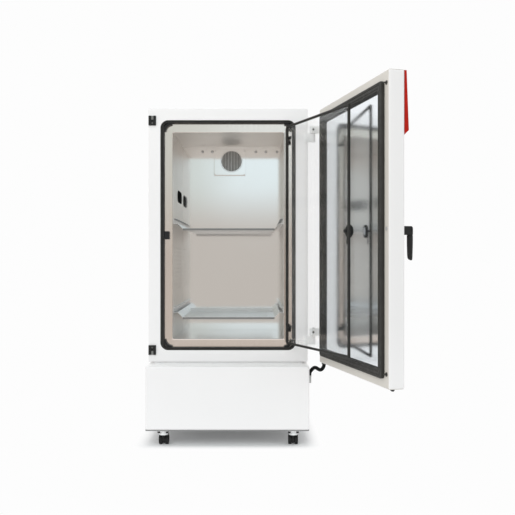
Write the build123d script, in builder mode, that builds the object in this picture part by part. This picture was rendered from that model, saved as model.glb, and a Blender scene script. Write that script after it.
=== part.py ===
"""Floor-standing laboratory incubator: insulated cabinet on a castor base, two shelves, an inner glass door
and an insulated outer door. Millimetres, +Z up, the cabinet's front faces -Y, both doors stand open."""
import math
import os

from build123d import *

os.makedirs("parts", exist_ok=True)

# --- driving dimensions ---------------------------------------------------------------------------------
sheet = 2.0                                        # painted and stainless sheet
cab_w, cab_d = 925.0, 690.0                        # upper cabinet
cab_z0, cab_z1 = 466.0, 1936.0
base_w, base_front = 930.0, -110.0                 # machine compartment, standing out under the door
base_z0, base_z1 = 94.0, 455.0
chassis_z = 89.0                                   # underside of the chassis plate
frame_w, frame_z0, frame_z1 = 786.0, 533.0, 1869.0       # black frame round the chamber opening
flange_w, flange_z0, flange_z1 = 745.0, 549.0, 1854.0    # stainless flange inside it
cham_w, cham_z0, cham_z1 = 650.0, 595.0, 1803.0          # chamber opening
flange_y, baffle_y, liner_back = 26.0, 566.0, 640.0
fan_z, fan_r = 1708.0, 70.0
deck_z = (718.0, 1245.0)                           # tops of the two shelf decks
shelf_y0, shelf_y1, shelf_rise = 88.0, 556.0, 30.0
run_gap = 0.3                                      # clearance between pieces that move against each other
shaft_gap = 0.05                                   # radial clearance of a shaft in its bore

door_pivot, door_open = (497.0, 8.0), 104.8        # outer door's hinge axis and its opening angle
door_x0, door_x1 = 32.0, 962.0                     # along the door from the hinge axis
door_y0, door_y1 = 25.0, 104.0                     # inner and outer faces from the hinge axis
door_z0, door_z1 = 465.7, 1925.7
seal_x0, seal_x1, seal_z0, seal_z1, seal_w = 72.6, 913.6, 509.5, 1881.0, 42.0
glass_pivot, glass_open = (348.0, 8.0), 115.1      # glass door's hinge axis and its opening angle
glass_x0, glass_x1 = 5.0, 679.0
glass_y0, glass_y1 = -16.5, -3.5
glass_z0, glass_z1 = 570.0, 1834.5
knob_x, knob_z, knob_r = 645.0, 1201.0, 33.0

castor_xs, castor_ys = (-366.0, 375.0), (-62.0, 600.0)
wheel_r, castor_trail = 28.0, 20.0

datum_x, datum_y = 214.0287, -108.5154             # bounding box centre, which becomes the origin


def hung(pivot, angle):
    """The plane a door is drawn on: X runs from the hinge to the free edge, Y from the inner face out."""
    a = math.radians(angle)
    return Plane(origin=(*pivot, 0), x_dir=(-math.cos(a), -math.sin(a), 0), z_dir=(0, 0, 1))


outer_door = hung(door_pivot, door_open)
glass_door = hung(glass_pivot, glass_open)


def block(x0, x1, y0, y1, z0, z1, mode=Mode.ADD):
    with Locations(((x0 + x1) / 2, (y0 + y1) / 2, (z0 + z1) / 2)):
        Box(x1 - x0, y1 - y0, z1 - z0, mode=mode)


def rod(axis, x, y, z, r, length, mode=Mode.ADD):
    """A cylinder centred on x, y, z along the named axis."""
    with Locations((x, y, z)):
        Cylinder(r, length, rotation={"x": (0, 90, 0), "y": (90, 0, 0), "z": (0, 0, 0)}[axis], mode=mode)


def facing(plane, x, y, z):
    """A plane parallel to a door's faces, looking outwards, at a point given on the door."""
    at = plane.from_local_coords(Vector(x, y, z))
    return Plane(origin=at, x_dir=plane.x_dir, z_dir=plane.y_dir)


def ring(plane, outer, r_outer, inner, r_inner, thick):
    with BuildSketch(plane) as outline:
        RectangleRounded(*outer, r_outer)
        RectangleRounded(*inner, r_inner, mode=Mode.SUBTRACT)
    extrude(outline.sketch, amount=thick)


def wall(y, x, z):
    """A plane across the cabinet at depth y, looking to the back."""
    return Plane(origin=(x, y, z), x_dir=(-1, 0, 0), z_dir=(0, 1, 0))


def save(builder, name):
    part = Pos(-datum_x, -datum_y, 0) * builder.part
    part.label = name
    export_step(part, f"parts/{name}.step")
    boxes.append(part.bounding_box())


boxes = []
half = cab_w / 2

# --- upper cabinet --------------------------------------------------------------------------------------
with BuildPart() as cabinet_shell:
    block(-half, half, sheet, cab_d - sheet, cab_z0, cab_z1)
    block(-half + sheet, half - sheet, 0, cab_d, cab_z0 + sheet, cab_z1 - sheet, Mode.SUBTRACT)
save(cabinet_shell, "cabinet_shell")

frame_mid = (frame_z0 + frame_z1) / 2
with BuildPart() as cabinet_front_frame:
    with BuildSketch(wall(0, 0, (cab_z0 + cab_z1) / 2)):
        RectangleRounded(cab_w, cab_z1 - cab_z0, 3)
        with Locations((0, frame_mid - (cab_z0 + cab_z1) / 2)):
            RectangleRounded(frame_w, frame_z1 - frame_z0, 45, mode=Mode.SUBTRACT)
    extrude(amount=sheet)
save(cabinet_front_frame, "cabinet_front_frame")

with BuildPart() as rear_panel:
    block(-half, half, cab_d - sheet, cab_d, cab_z0, cab_z1)
save(rear_panel, "rear_panel")

with BuildPart() as cabinet_insulation:
    block(-half + sheet, half - sheet, sheet, cab_d - sheet, cab_z0 + sheet, cab_z1 - sheet)
    block(-cham_w / 2 - sheet, cham_w / 2 + sheet, 0, liner_back, cham_z0 - sheet, cham_z1 + sheet,
          Mode.SUBTRACT)
    block(-frame_w / 2, frame_w / 2, 0, flange_y + sheet, frame_z0, frame_z1, Mode.SUBTRACT)
save(cabinet_insulation, "cabinet_insulation")

with BuildPart() as chamber_gasket:
    ring(wall(0.5, 0, frame_mid), (frame_w, frame_z1 - frame_z0), 45,
         (flange_w, flange_z1 - flange_z0), 22, flange_y + sheet - 0.5)
save(chamber_gasket, "chamber_gasket")

flange_mid, cham_mid = (flange_z0 + flange_z1) / 2, (cham_z0 + cham_z1) / 2
gasket_hole = flange_mid - frame_mid
with BuildPart() as chamber_flange:
    with BuildSketch(wall(flange_y, 0, frame_mid)):
        RectangleRounded(flange_w, flange_z1 - flange_z0 - 2 * abs(gasket_hole), 23)
        with Locations((0, cham_mid - frame_mid)):
            RectangleRounded(cham_w, cham_z1 - cham_z0, 8, mode=Mode.SUBTRACT)
    extrude(amount=sheet)
save(chamber_flange, "chamber_flange")

slot_zs = [885 + 24.4 * n for n in range(11)]
with BuildPart() as chamber_liner:
    block(-cham_w / 2 - sheet, cham_w / 2 + sheet, flange_y + sheet, liner_back, cham_z0 - sheet,
          cham_z1 + sheet)
    block(-cham_w / 2, cham_w / 2, flange_y, liner_back - sheet, cham_z0, cham_z1, Mode.SUBTRACT)
    for z in slot_zs:
        block(-cham_w, cham_w, 90, 500, z - 4, z + 4, Mode.SUBTRACT)
save(chamber_liner, "chamber_liner")

with BuildPart() as back_baffle:
    block(-cham_w / 2, cham_w / 2, baffle_y, baffle_y + sheet, cham_z0, cham_z1)
    rod("y", 0, baffle_y, fan_z, fan_r - 4, 20, Mode.SUBTRACT)
save(back_baffle, "back_baffle")

with BuildPart() as fan_guard:
    with BuildSketch(wall(baffle_y - 1.5, -12, 1699)):
        RectangleRounded(212, 176, 8)
        with Locations((-12, fan_z - 1699)):
            Circle(fan_r - 4, mode=Mode.SUBTRACT)
    extrude(amount=1.5)
    rod("y", 0, baffle_y - 4.5, fan_z, fan_r, 6)
    rod("y", 0, baffle_y - 4.5, fan_z, fan_r - 4, 20, Mode.SUBTRACT)
    for n in range(-6, 7):
        reach = math.sqrt((fan_r - 3) ** 2 - (10 * n) ** 2)
        block(10 * n - 1.2, 10 * n + 1.2, baffle_y - 7, baffle_y - 3, fan_z - reach, fan_z + reach)
save(fan_guard, "fan_guard")

with BuildPart() as fan_motor:
    rod("y", 0, 616, fan_z, 32, 44)
    rod("y", 0, 585, fan_z, 4, 20)
save(fan_motor, "fan_motor")

with BuildPart() as fan_impeller:
    rod("y", 0, 583, fan_z, 18, 14)
    for n in range(5):
        with Locations(Location((0, 583, fan_z), (0, 72 * n, 0))):
            with Locations(Location((37, 0, 0), (28, 0, 0))):
                Box(44, 2, 26)
    rod("y", 0, 583, fan_z, 4 + shaft_gap, 40, Mode.SUBTRACT)
save(fan_impeller, "fan_impeller")

with BuildPart() as evaporator:
    for n in range(24):
        block(-250 + 21 * n, -248.8 + 21 * n, 578, 628, 1000, 1500)
    for z in range(1040, 1500, 84):
        rod("x", -5, 603, z, 6, 500)
save(evaporator, "evaporator")

with BuildPart() as wall_cover:
    with BuildSketch(Plane.YZ.offset(-cham_w / 2)):
        with Locations((397.5, 1455)):
            RectangleRounded(223, 74, 36)
    extrude(amount=3)
save(wall_cover, "wall_cover")

with BuildPart() as shelf_runners:
    for side in (-1, 1):
        for top in deck_z:
            flange_under = top + shelf_rise - sheet - run_gap
            x_wall, x_web = side * cham_w / 2, side * (cham_w / 2 - sheet)
            xs, lip = sorted((x_wall, x_web)), sorted((x_web, x_web - side * 16))
            block(*xs, 60, 560, flange_under - sheet, flange_under + 30)
            block(*lip, 60, 560, flange_under - sheet, flange_under)
            block(*lip, 60, 560, flange_under + 28, flange_under + 30)
save(shelf_runners, "shelf_runners")

for name, top in zip(("shelf_lower", "shelf_upper"), deck_z):
    edge, knee, foot = cham_w / 2 - 3.5, cham_w / 2 - 22, cham_w / 2 - 53
    high = top + shelf_rise
    half_line = [(foot, top), (knee, high), (edge, high), (edge, high - sheet), (knee + 1, high - sheet),
                 (foot + 1, top - sheet)]
    with BuildPart() as shelf:
        with BuildSketch(Plane.XZ.offset(-shelf_y1)):
            with BuildLine():
                Polyline(*half_line, *[(-x, z) for x, z in reversed(half_line)], close=True)
            make_face()
        extrude(amount=shelf_y1 - shelf_y0)
        block(-foot, foot, shelf_y0, shelf_y0 + sheet, top - 12, top - sheet)
        block(-foot, foot, shelf_y1 - sheet, shelf_y1, top, top + 22)
    save(shelf, name)

with BuildPart() as wall_fixings:
    for x in (-190, -127, 160, 226, 300):
        rod("y", x, baffle_y - 3, 1771, 5, 6)
        rod("y", x, baffle_y - 7, 1771, 3, 4)
save(wall_fixings, "wall_fixings")

catch_z = (534.5, 1866.0)
pin_x = 936.0
catch_x = door_pivot[0] - pin_x
with BuildPart() as latch_catches:
    for z, way in zip(catch_z, (-1, 1)):
        block(-half + 1, -half + 44.5, -8, 0, z - 28, z + 28)
        block(catch_x - 6.5, catch_x + 6.5, -10, -1.5, *sorted((z - 6 * way, z + 30 * way)), Mode.SUBTRACT)
    fillet(latch_catches.edges().filter_by(Axis.Y).group_by(Axis.X)[0], 4)
save(latch_catches, "latch_catches")

with BuildPart() as latch_catch_screws:
    for z, way in zip(catch_z, (-1, 1)):
        rod("y", catch_x, -9, z - 15 * way, 5, 2)
save(latch_catch_screws, "latch_catch_screws")

with BuildPart() as glass_door_catch:
    block(-370, -344, 1.5, flange_y, knob_z - 23, knob_z + 23)
    block(-363, -342, 6.5, 13, knob_z - 24, knob_z + 24, Mode.SUBTRACT)
save(glass_door_catch, "glass_door_catch")

# --- hinges of the outer door ---------------------------------------------------------------------------
px, py = door_pivot
hinge_split = (617.0, 1791.0)                      # where the door's arm rests over the cabinet's bracket
with BuildPart() as outer_hinge_brackets:
    for z in hinge_split:
        block(441, 505, -6, 0, z - 50, z)
        rod("z", px, py, z - 25, 11, 50)
        block(half, px, 0, 14, z - 50, z)
        rod("z", px, py, z + 20, 5, 44)
save(outer_hinge_brackets, "outer_hinge_brackets")

with BuildPart(outer_door) as outer_hinge_arms:
    for z in hinge_split:
        low, high = z + run_gap, z + 44
        block(-12, 20, -22, door_y0 + 6, low, high)
        block(20, door_x0, door_y0 - 3, door_y0 + 60, low, high)
        rod("z", 0, 0, z + 22, 5 + shaft_gap, 60, Mode.SUBTRACT)
save(outer_hinge_arms, "outer_hinge_arms")

# --- outer door -----------------------------------------------------------------------------------------
door_mid_x, door_mid_z = (door_x0 + door_x1) / 2, (door_z0 + door_z1) / 2
door_w, door_h, door_t = door_x1 - door_x0, door_z1 - door_z0, door_y1 - door_y0
seal_mid_x, seal_mid_z = (seal_x0 + seal_x1) / 2, (seal_z0 + seal_z1) / 2
seal_size = (seal_x1 - seal_x0, seal_z1 - seal_z0)
panel_size = (seal_size[0] - 2 * seal_w, seal_size[1] - 2 * seal_w)


def door_blank(inset, y0, y1, radius):
    foot = outer_door.from_local_coords(Vector(door_mid_x, (y0 + y1) / 2, door_z0 + inset))
    with BuildSketch(Plane(origin=foot, x_dir=outer_door.x_dir, z_dir=(0, 0, 1))) as outline:
        RectangleRounded(door_w - 2 * inset, y1 - y0, radius)
    extrude(outline.sketch, amount=door_h - 2 * inset)


with BuildPart() as door_core:
    door_blank(sheet, door_y0 + sheet, door_y1 - sheet, 10)
with BuildPart() as outer_door_skin:
    door_blank(0, door_y0, door_y1, 12)
    add(door_core.part, mode=Mode.SUBTRACT)
    ring_cut = facing(outer_door, door_mid_x, door_y0 - 1, door_mid_z)
    with BuildSketch(ring_cut):
        Rectangle(door_w - 28, door_h - 28)
    extrude(amount=sheet + 2, mode=Mode.SUBTRACT)
save(outer_door_skin, "outer_door_skin")

with BuildPart() as outer_door_insulation:
    door_blank(sheet, door_y0 + sheet, door_y1 - sheet, 10)
save(outer_door_insulation, "outer_door_insulation")

with BuildPart() as outer_door_inner_frame:
    with BuildSketch(facing(outer_door, door_mid_x, door_y0, door_mid_z)):
        Rectangle(door_w - 28, door_h - 28)
        with Locations((seal_mid_x - door_mid_x, door_mid_z - seal_mid_z)):
            Rectangle(panel_size[0], panel_size[1], mode=Mode.SUBTRACT)
    extrude(amount=sheet)
save(outer_door_inner_frame, "outer_door_inner_frame")

with BuildPart() as outer_door_inner_panel:
    with BuildSketch(facing(outer_door, seal_mid_x, door_y0, seal_mid_z)):
        Rectangle(*panel_size)
    extrude(amount=sheet)
save(outer_door_inner_panel, "outer_door_inner_panel")

with BuildPart() as outer_door_gasket:
    ring(facing(outer_door, seal_mid_x, py + 0.4, seal_mid_z), seal_size, 20, panel_size, 10,
         door_y0 - py - 0.4)
save(outer_door_gasket, "outer_door_gasket")

with BuildPart(outer_door) as latch_pins:
    for z in catch_z:
        rod("y", pin_x, door_y0 - 7, z, 4, 14)
        rod("y", pin_x, door_y0 - 1.5, z, 9, 3)
save(latch_pins, "latch_pins")

with BuildPart(outer_door) as door_lock:
    rod("y", pin_x, door_y0 - 2, 1200, 6, 4)
save(door_lock, "door_lock")

with BuildPart(outer_door) as door_glide:
    block(925, 950, 45, 60, door_z0 - 9.5, door_z0)
save(door_glide, "door_glide")

lever_x, lever_z, lever_y = 912.0, 1193.0, door_y1 + 50
with BuildPart(outer_door) as handle_base:
    block(lever_x - 20, lever_x + 20, door_y1, door_y1 + 8, lever_z - 30, lever_z + 30)
    for side in (-1, 1):
        block(lever_x + side * 14.5 - 3, lever_x + side * 14.5 + 3, door_y1 + 8, door_y1 + 56, lever_z - 20,
              lever_z + 20)
    block(lever_x - 17.5, lever_x + 17.5, door_y1 + 8, door_y1 + 56, lever_z + 16, lever_z + 20)
    rod("x", lever_x, lever_y, lever_z, 4, 35)
save(handle_base, "handle_base")

with BuildPart(outer_door) as handle_lever:
    block(lever_x - 11.2, lever_x + 11.2, lever_y - 9, lever_y + 7, lever_z - 30, lever_z + 10)
    with Locations(Location((lever_x, lever_y, lever_z - 74.5), (0, 0, 0))):
        Cone(12.5, 14.2, 104)
    with Locations((lever_x, lever_y, lever_z - 126.5)):
        Sphere(12.5)
    rod("x", lever_x, lever_y, lever_z, 4 + shaft_gap, 60, Mode.SUBTRACT)
save(handle_lever, "handle_lever")

house_x0, house_x1, house_z0, house_z1 = 560.0, 958.0, 1629.0, 1923.0
with BuildPart() as control_housing:
    side = Plane(origin=outer_door.from_local_coords(Vector(house_x0, door_y1, 0)),
                 x_dir=outer_door.y_dir, z_dir=outer_door.x_dir)
    with BuildSketch(side):
        with BuildLine():
            Polyline((0, house_z0), (21, house_z0 + 21), (10, house_z1), (0, house_z1), close=True)
        make_face()
    extrude(amount=house_x1 - house_x0)
save(control_housing, "control_housing")

tilt = math.atan2(11, house_z1 - house_z0 - 21)
face_z = house_z0 + 150
face_y = door_y1 + 21 - 129 * math.tan(tilt)       # the sloping front, at the height of the displays
with BuildPart(outer_door) as control_display:
    for x, width in ((690, 180), (865, 110)):
        lift = 1.55
        with Locations(Location((x, face_y + lift * math.cos(tilt), face_z + lift * math.sin(tilt)),
                                (math.degrees(tilt), 0, 0))):
            Box(width, 3, 110)
save(control_display, "control_display")

# --- inner glass door -----------------------------------------------------------------------------------
glass_mid_x, glass_mid_z = (glass_x0 + glass_x1) / 2, (glass_z0 + glass_z1) / 2
glass_size = (glass_x1 - glass_x0, glass_z1 - glass_z0)
with BuildPart() as glass_pane:
    with BuildSketch(facing(glass_door, glass_mid_x, glass_y0 + 4, glass_mid_z)):
        RectangleRounded(glass_size[0] - 8, glass_size[1] - 8, 4)
        with Locations((knob_x - glass_mid_x, glass_mid_z - knob_z)):
            Circle(6, mode=Mode.SUBTRACT)
    extrude(amount=5)
save(glass_pane, "glass_pane")

with BuildPart() as glass_edge_seal:
    ring(facing(glass_door, glass_mid_x, glass_y0, glass_mid_z), glass_size, 6,
         (glass_size[0] - 24, glass_size[1] - 24), 4, glass_y1 - glass_y0)
    with BuildSketch(facing(glass_door, glass_mid_x, glass_y0 + 4, glass_mid_z)):
        RectangleRounded(glass_size[0] - 8, glass_size[1] - 8, 4)
    extrude(amount=5, mode=Mode.SUBTRACT)
save(glass_edge_seal, "glass_edge_seal")

glass_hinge_z = (660.0, 1752.0)
with BuildPart() as glass_hinge_brackets:
    gx, gy = glass_pivot
    for z in glass_hinge_z:
        rod("z", gx, gy, z - 10.5, 6, 20)
        block(gx, gx + 18, gy - 2, gy + 2, z - 20.5, z - 0.5)
        block(gx + 14, gx + 18, gy - 2, flange_y, z - 20.5, z - 0.5)
        rod("z", gx, gy, z + 9, 2.5, 20)
save(glass_hinge_brackets, "glass_hinge_brackets")

with BuildPart(glass_door) as glass_hinge_leaves:
    for z in glass_hinge_z:
        rod("z", 0, 0, z + 10, 6, 20)
        block(0, 46, glass_y1, glass_y1 + 3, z, z + 20)
        rod("z", 0, 0, z + 10, 2.5 + shaft_gap, 40, Mode.SUBTRACT)
save(glass_hinge_leaves, "glass_hinge_leaves")

with BuildPart(glass_door) as glass_knob:
    rod("y", knob_x, glass_y1 + 13, knob_z, knob_r, 14)
    fillet(glass_knob.edges().filter_by(GeomType.CIRCLE), 3)
    rod("y", knob_x, -7, knob_z, 5.5, 26)
    block(knob_x - 7, knob_x + 7, glass_y1 + 0.5, glass_y1 + 3.5, knob_z - 66, knob_z + 7)
    rod("y", knob_x, glass_y1 + 3, knob_z, 9, 6)
save(glass_knob, "glass_knob")

# --- machine compartment --------------------------------------------------------------------------------
bh = base_w / 2
with BuildPart() as joining_frame:
    block(-430, 430, 12, 670, base_z1, cab_z0)
    block(-400, 400, 42, 640, base_z1, cab_z0, Mode.SUBTRACT)
save(joining_frame, "joining_frame")

with BuildPart() as base_casing:
    block(-bh, bh, base_front + sheet, cab_d, base_z0, base_z1)
    block(-bh + sheet, bh - sheet, base_front, cab_d - sheet, base_z0 - 1, base_z1 - sheet, Mode.SUBTRACT)
    for n in range(-9, 10):
        block(30 * n - 3, 30 * n + 3, cab_d - 5, cab_d + 5, 160, 380, Mode.SUBTRACT)
    block(384, 406, cab_d - 5, cab_d + 5, 154, 174, Mode.SUBTRACT)
save(base_casing, "base_casing")

with BuildPart() as base_front_panel:
    block(-bh, bh, base_front, base_front + sheet, base_z0, base_z1)
    fillet(base_front_panel.edges().filter_by(Axis.Y), 4)
save(base_front_panel, "base_front_panel")

with BuildPart() as base_chassis:
    block(-bh + 4, bh - 4, base_front + 4, cab_d - 4, chassis_z, chassis_z + 4)
    block(-bh + sheet, -bh + 4, base_front + 4, cab_d - 4, chassis_z, base_z0 + 30)
    block(bh - 4, bh - sheet, base_front + 4, cab_d - 4, chassis_z, base_z0 + 30)
save(base_chassis, "base_chassis")

with BuildPart() as compressor:
    rod("z", 240, 480, chassis_z + 102, 95, 140)
    fillet(compressor.edges().filter_by(GeomType.CIRCLE), 30)
    block(150, 330, 390, 570, chassis_z + 4, chassis_z + 34)
save(compressor, "compressor")

with BuildPart() as condenser:
    for n in range(28):
        block(-360 + 14 * n, -359 + 14 * n, 560, 640, 120, 400)
    for z in range(150, 400, 50):
        rod("x", -170, 600, z, 5, 400)
    for x in (-372, 20):
        block(x, x + 4, 560, 640, chassis_z + 4, 410)
save(condenser, "condenser")

with BuildPart() as power_inlet:
    block(380, 410, cab_d, cab_d + 6, 150, 178)
    block(384, 406, cab_d + 2, cab_d + 8, 154, 174, Mode.SUBTRACT)
    block(384, 406, cab_d - sheet - 20, cab_d, 154, 174)
save(power_inlet, "power_inlet")

# --- door cable -----------------------------------------------------------------------------------------
cable_r = 10.5
cable_top = outer_door.from_local_coords(Vector(64, 42, door_z0 - 3))
gland_x, gland_y, gland_z = bh + 11.5, 40.0, 378.0
with BuildPart(outer_door) as door_cable_gland:
    rod("z", 64, 42, door_z0 - 4, 14.5, 8)
    rod("z", 64, 42, door_z0 - 4, cable_r + run_gap, 20, Mode.SUBTRACT)
save(door_cable_gland, "door_cable_gland")

with BuildPart() as base_cable_gland:
    block(bh, bh + 23.5, gland_y - 14, gland_y + 14, gland_z - 40, gland_z)
    rod("z", gland_x, gland_y, gland_z, cable_r + run_gap, 30, Mode.SUBTRACT)
save(base_cable_gland, "base_cable_gland")

cable_points = [cable_top, (cable_top.X, cable_top.Y, 444), (532, -56, 422), (500, -52, 446), (479, -30, 420),
                (gland_x, gland_y, 398), (gland_x, gland_y, gland_z - 8)]


def bend_radii(points):
    """The largest arc each corner of a route has room for."""
    radii = []
    for a, b, c in zip(points, points[1:], points[2:]):
        half_turn = math.radians((b - a).get_angle(c - b)) / 2
        radii.append(0.45 * min((b - a).length, (c - b).length) / math.tan(half_turn))
    return radii


cable_points = [Vector(p) for p in cable_points]
cable_bends = bend_radii(cable_points)
with BuildPart() as door_cable:
    with BuildLine() as route:
        FilletPolyline(*cable_points, radius=cable_bends)
    with BuildSketch(Plane(origin=route.line @ 0, z_dir=route.line % 0)):
        Circle(cable_r)
    sweep(path=route.line)
save(door_cable, "door_cable")
cable_length = sum(e.length for e in route.line.edges())
print("cable length", round(cable_length, 1), "radii", [round(r, 1) for r in cable_bends])
print("cable volume", door_cable.part.volume, "section by length", math.pi * cable_r**2 * cable_length)

# --- castors --------------------------------------------------------------------------------------------
with BuildPart() as castor_plates:
    for y in castor_ys:
        for x in castor_xs:
            block(x - 31, x + 31, y - 36, y + 36, chassis_z - 4, chassis_z)
            rod("z", x, y, chassis_z - 4, 8 + shaft_gap, 20, Mode.SUBTRACT)
save(castor_plates, "castor_plates")

with BuildPart() as castor_bolts:
    for y in castor_ys:
        for x in castor_xs:
            with Locations((x, y, chassis_z - 10)):
                with GridLocations(47, 54, 2, 2):
                    Cylinder(8, 12)
save(castor_bolts, "castor_bolts")

fork_top = chassis_z - 4.4
for tag, x, y in (("fl", castor_xs[0], castor_ys[0]), ("fr", castor_xs[1], castor_ys[0]),
                  ("rl", castor_xs[0], castor_ys[1]), ("rr", castor_xs[1], castor_ys[1])):
    axle_y = y + castor_trail
    with BuildPart() as fork:
        with Locations((x, y, (fork_top + 61) / 2)):
            Cone(27, 15, fork_top - 61)
        rod("z", x, y, chassis_z - 5, 8, 8)
        rod("x", x, axle_y, wheel_r, 23, 14)
        block(x - 7, x + 7, y - 10, y + 44, 40, 61)
        block(x - 28, x + 28, y - 8, y + 48, 57, 61)
        rod("x", x, axle_y, wheel_r, 5, 56)
    save(fork, f"castor_fork_{tag}")
    with BuildPart() as wheels:
        for side in (-1, 1):
            rod("x", x + side * 18, axle_y, wheel_r, wheel_r, 20)
        fillet(wheels.edges().filter_by(GeomType.CIRCLE), 3)
        rod("x", x, axle_y, wheel_r, 5 + shaft_gap, 80, Mode.SUBTRACT)
    save(wheels, f"castor_wheels_{tag}")

low = [min(getattr(b.min, a) for b in boxes) for a in "XYZ"]
high = [max(getattr(b.max, a) for b in boxes) for a in "XYZ"]
print("nodes", len(boxes), "low", low, "high", high)
print("centre", (low[0] + high[0]) / 2, (low[1] + high[1]) / 2)
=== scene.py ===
"""The looks of a laboratory incubator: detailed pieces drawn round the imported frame, doors open."""
import math

import bmesh
import bpy
from mathutils import Matrix, Vector


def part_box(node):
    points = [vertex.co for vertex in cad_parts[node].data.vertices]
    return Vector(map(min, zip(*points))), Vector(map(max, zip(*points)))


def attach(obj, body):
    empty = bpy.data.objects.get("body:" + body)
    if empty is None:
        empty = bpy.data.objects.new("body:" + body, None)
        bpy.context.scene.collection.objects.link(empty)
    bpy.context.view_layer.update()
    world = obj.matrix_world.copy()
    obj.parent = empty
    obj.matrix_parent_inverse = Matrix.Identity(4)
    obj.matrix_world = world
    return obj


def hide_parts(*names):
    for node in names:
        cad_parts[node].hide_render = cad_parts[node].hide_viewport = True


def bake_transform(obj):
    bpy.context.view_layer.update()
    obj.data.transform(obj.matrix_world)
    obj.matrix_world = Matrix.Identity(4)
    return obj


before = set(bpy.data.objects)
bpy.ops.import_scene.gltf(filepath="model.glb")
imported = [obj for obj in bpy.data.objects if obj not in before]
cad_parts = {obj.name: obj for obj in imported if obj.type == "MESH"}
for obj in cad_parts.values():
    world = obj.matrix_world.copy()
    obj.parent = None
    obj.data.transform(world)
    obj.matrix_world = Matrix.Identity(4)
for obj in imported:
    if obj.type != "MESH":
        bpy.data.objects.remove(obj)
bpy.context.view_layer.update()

MM = 0.001
DOOR_OPEN, GLASS_OPEN = 104.8, 115.1                # opening angles of the two doors, in degrees
DOOR_PIVOT, GLASS_PIVOT = (497.0, 8.0), (348.0, 8.0)

# --- the cabinet's own frame: x from its centre, y back from its front face, z up, all in mm ----------------
_low, _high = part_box("cabinet_front_frame")
MID_X, FRONT_Y = (_low[0] + _high[0]) / 2, _low[1]


def at(x, y, z):
    """A place in the shared frame, in metres, from mm in the cabinet's own frame."""
    return Vector((MID_X + x * MM, FRONT_Y + y * MM, z * MM))


class Hung:
    """A door's own frame: x from the hinge to the free edge, y from the inner face out, z up, in mm."""

    def __init__(self, pivot, angle):
        a = math.radians(angle)
        self.pivot = pivot
        self.u = Vector((-math.cos(a), -math.sin(a), 0))
        self.n = Vector((math.sin(a), -math.cos(a), 0))

    def at(self, x, y, z):
        return at(self.pivot[0], self.pivot[1], z) + (self.u * x + self.n * y) * MM

    def matrix(self):
        m = Matrix.Identity(4)
        m.col[0][:3], m.col[1][:3], m.col[2][:3] = self.u, self.n, (0, 0, 1)
        m.col[3][:3] = at(self.pivot[0], self.pivot[1], 0)
        return m


outer_door = Hung(DOOR_PIVOT, DOOR_OPEN)
glass_door = Hung(GLASS_PIVOT, GLASS_OPEN)
CABINET, OUTER, GLASS = Matrix.Translation(at(0, 0, 0)), outer_door.matrix(), glass_door.matrix()

# --- camera: level, in front of the cabinet and a little to the right of its centre -------------------------
EYE = (171.0, -4152.0, 1055.0)
SENSOR, LENS, LENS_SHIFT = 36, 49.98, 0.0055
cam = bpy.data.objects.new("camera", bpy.data.cameras.new("camera"))
bpy.context.collection.objects.link(cam)
cam.location = at(*EYE)
cam.rotation_euler = (math.radians(90), 0, 0)
cam.data.sensor_width = SENSOR
cam.data.lens = LENS
cam.data.shift_y = LENS_SHIFT
bpy.context.scene.camera = cam


# --- materials ----------------------------------------------------------------------------------------------
class Mat:
    """One procedural material: a Principled shader with helpers that add node-made variation."""

    def __init__(self, name, color, rough, metal=0.0, **inputs):
        self.material = bpy.data.materials.new(name)
        self.material.use_nodes = True
        self.tree = self.material.node_tree
        self.shader = self.tree.nodes["Principled BSDF"]
        self.color, self.rough = color, rough
        self.set(**{"Base Color": (*color, 1), "Roughness": rough, "Metallic": metal}, **inputs)
        self.coord = self.tree.nodes.new("ShaderNodeTexCoord").outputs["Object"]
        self.material.diffuse_color = (*color, 1)

    def set(self, **inputs):
        for key, value in inputs.items():
            self.shader.inputs[key.replace("_", " ")].default_value = value

    def link(self, a, b):
        self.tree.links.new(a, b)

    def noise(self, scale, stretch=(1, 1, 1), detail=3.0):
        """Noise over the object; a larger scale or stretch makes a finer grain."""
        mapping = self.tree.nodes.new("ShaderNodeMapping")
        mapping.inputs["Scale"].default_value = stretch
        self.link(self.coord, mapping.inputs["Vector"])
        noise = self.tree.nodes.new("ShaderNodeTexNoise")
        noise.inputs["Scale"].default_value = scale
        noise.inputs["Detail"].default_value = detail
        self.link(mapping.outputs[0], noise.inputs["Vector"])
        return noise.outputs["Fac"]

    def range(self, value, low, high, from_low=0.3, from_high=0.7):
        node = self.tree.nodes.new("ShaderNodeMapRange")
        for key, v in (("From Min", from_low), ("From Max", from_high), ("To Min", low), ("To Max", high)):
            node.inputs[key].default_value = v
        self.link(value, node.inputs["Value"])
        return node.outputs[0]

    def vary_color(self, value, darker, lighter):
        ramp = self.tree.nodes.new("ShaderNodeValToRGB")
        ramp.color_ramp.elements[0].position, ramp.color_ramp.elements[1].position = 0.3, 0.7
        for e, k in zip(ramp.color_ramp.elements, (darker, lighter)):
            e.color = (*[min(1, c * k) for c in self.color], 1)
        self.link(value, ramp.inputs[0])
        self.link(ramp.outputs[0], self.shader.inputs["Base Color"])
        return self

    def vary_rough(self, value, low, high):
        self.link(self.range(value, low, high), self.shader.inputs["Roughness"])
        return self

    def bump(self, value, distance, strength=1.0):
        node = self.tree.nodes.new("ShaderNodeBump")
        node.inputs["Distance"].default_value = distance
        node.inputs["Strength"].default_value = strength
        self.link(value, node.inputs["Height"])
        self.link(node.outputs[0], self.shader.inputs["Normal"])
        return self


def painted(name, color, rough=0.42):
    m = Mat(name, color, rough, Coat_Weight=0.15)
    m.vary_color(m.noise(2.0), 0.985, 1.01)
    m.vary_rough(m.noise(9.0), rough - 0.05, rough + 0.05)
    return m.bump(m.noise(900.0, detail=1.0), 0.0002, 0.12)


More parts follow.
